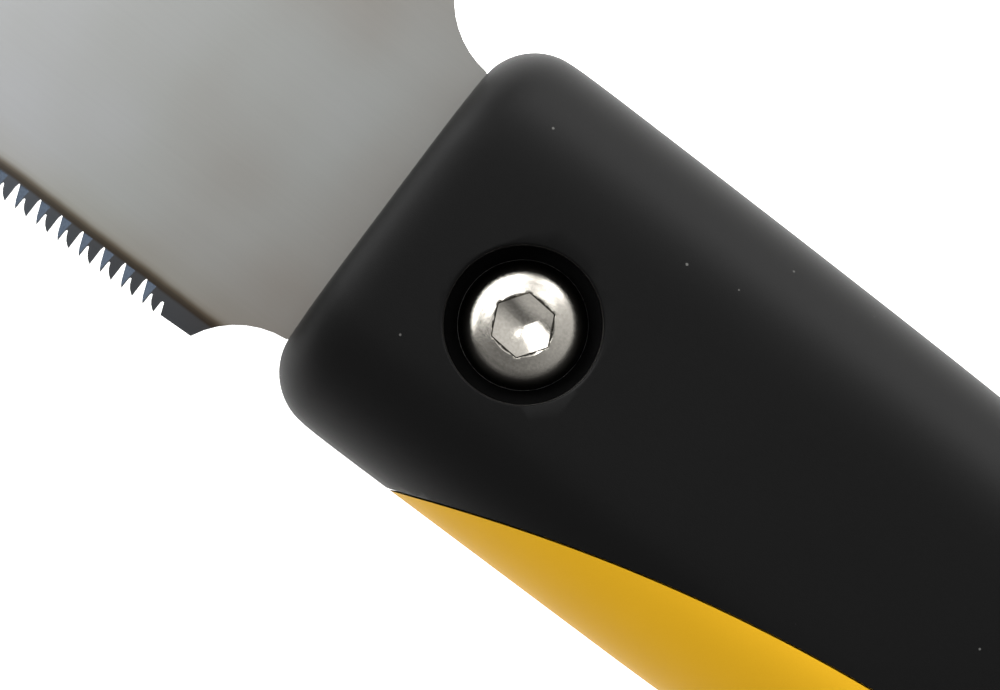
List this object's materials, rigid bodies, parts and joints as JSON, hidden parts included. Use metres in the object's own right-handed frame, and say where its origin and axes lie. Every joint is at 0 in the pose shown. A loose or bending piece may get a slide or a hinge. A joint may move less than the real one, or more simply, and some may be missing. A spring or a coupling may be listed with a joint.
{
  "type": "drywall saw",
  "caption": "Pull-stroke drywall saw: a tapered, pointed blade with fine teeth, held by a recessed hex screw in a two-colour handle with a finger hollow and a hanging hole.",
  "frame": {"origin": "middle of the overall box's underside, where the saw lies on its left side", "axes": "+X from the blade's point towards the handle's butt, +Y towards the blade's back, -Y the way the teeth face, +Z square to the blade, out of the side with the clamp screw's head"},
  "size_m": [0.383, 0.0442, 0.026],
  "materials": {
    "blade_steel": "satin ground spring steel, hardened dark along the teeth",
    "screw_nickel": "satin nickel plate",
    "zinc_steel": "bright zinc plate",
    "liner_steel": "blanked cold-rolled steel",
    "handle_yellow": "fine matte moulding grain",
    "grip_black": "smooth matte soft elastomer"
  },
  "bodies": {
    "handle": {"clamp_nut": "zinc_steel", "liner_right": "liner_steel", "liner_left": "liner_steel", "liner_spacer": "liner_steel", "chassis_rivet_1": "liner_steel", "chassis_rivet_2": "liner_steel", "chassis_rivet_3": "liner_steel", "shell_right": "handle_yellow", "shell_left": "handle_yellow", "grip_right": "grip_black", "grip_left": "grip_black", "shell_screw_1": "zinc_steel", "shell_screw_2": "zinc_steel", "shell_screw_3": "zinc_steel", "shell_screw_4": "zinc_steel", "shell_screw_5": "zinc_steel", "hang_eyelet": "zinc_steel"},
    "blade": {"blade": "blade_steel"},
    "clamp_washer": {"clamp_washer": "zinc_steel"},
    "clamp_screw": {"clamp_screw": "screw_nickel"}
  },
  "joints": [
    {"name": "blade_slide", "type": "slide", "parent": "handle", "child": "blade", "axis": [-1, 0, 0], "range_m": [0, 0.03]},
    {"name": "screw_back_off", "type": "slide", "parent": "handle", "child": "clamp_washer", "axis": [0, 0, 1], "range_m": [0, 0.002]},
    {"name": "clamp_screw_turn", "type": "hinge", "parent": "clamp_washer", "child": "clamp_screw", "pos_m": [0.03885, 0.00175, 0.0165], "axis": [0, 0, 1], "range_deg": [0, 720.5]}
  ],
  "couplings": [
    {"joint": "clamp_screw_turn", "follows": "screw_back_off", "rad_per_m": 6283.2}
  ]
}
